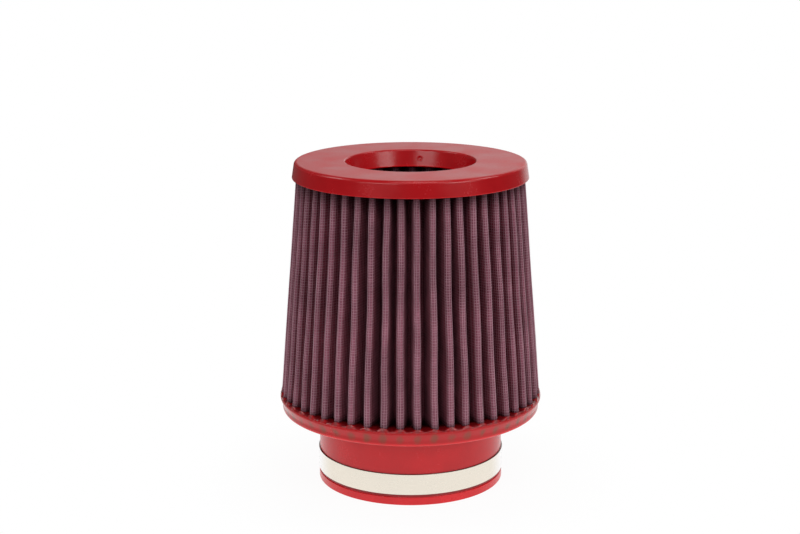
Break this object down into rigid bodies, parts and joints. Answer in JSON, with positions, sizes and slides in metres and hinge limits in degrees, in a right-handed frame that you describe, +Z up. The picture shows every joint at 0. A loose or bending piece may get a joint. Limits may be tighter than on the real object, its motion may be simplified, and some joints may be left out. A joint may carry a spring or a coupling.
{
  "type": "cone air filter",
  "caption": "Twin-cone engine air filter: pleated gauze pack between a moulded top ring and a flanged neck, with an inverted inner cone and a worm-drive clamp.",
  "frame": {"origin": "centre of the neck's lower rim, on the filter's axis", "axes": "+Z up the filter's axis from the neck to the top ring; the clamp's screw housing is on the +Y side"},
  "size_m": [0.1512, 0.1512, 0.1864],
  "materials": {
    "red_moulding": "satin moulded polyurethane",
    "pleated_gauze": "oiled cotton gauze between fine wire screens",
    "stainless": "rolled stainless strip",
    "plated_screw": "zinc-plated steel"
  },
  "bodies": {
    "filter": {"base_flange": "red_moulding", "top_cap": "red_moulding", "inner_end_cap": "red_moulding", "outer_pleats": "pleated_gauze", "inner_pleats": "pleated_gauze", "clamp_band": "stainless", "clamp_housing": "stainless"},
    "worm_screw": {"clamp_screw": "plated_screw"}
  },
  "joints": [
    {"name": "clamp_screw_spin", "type": "hinge", "parent": "filter", "child": "worm_screw", "pos_m": [0, 0.05842, 0.0122], "axis": [1, 0, 0], "continuous": true}
  ]
}
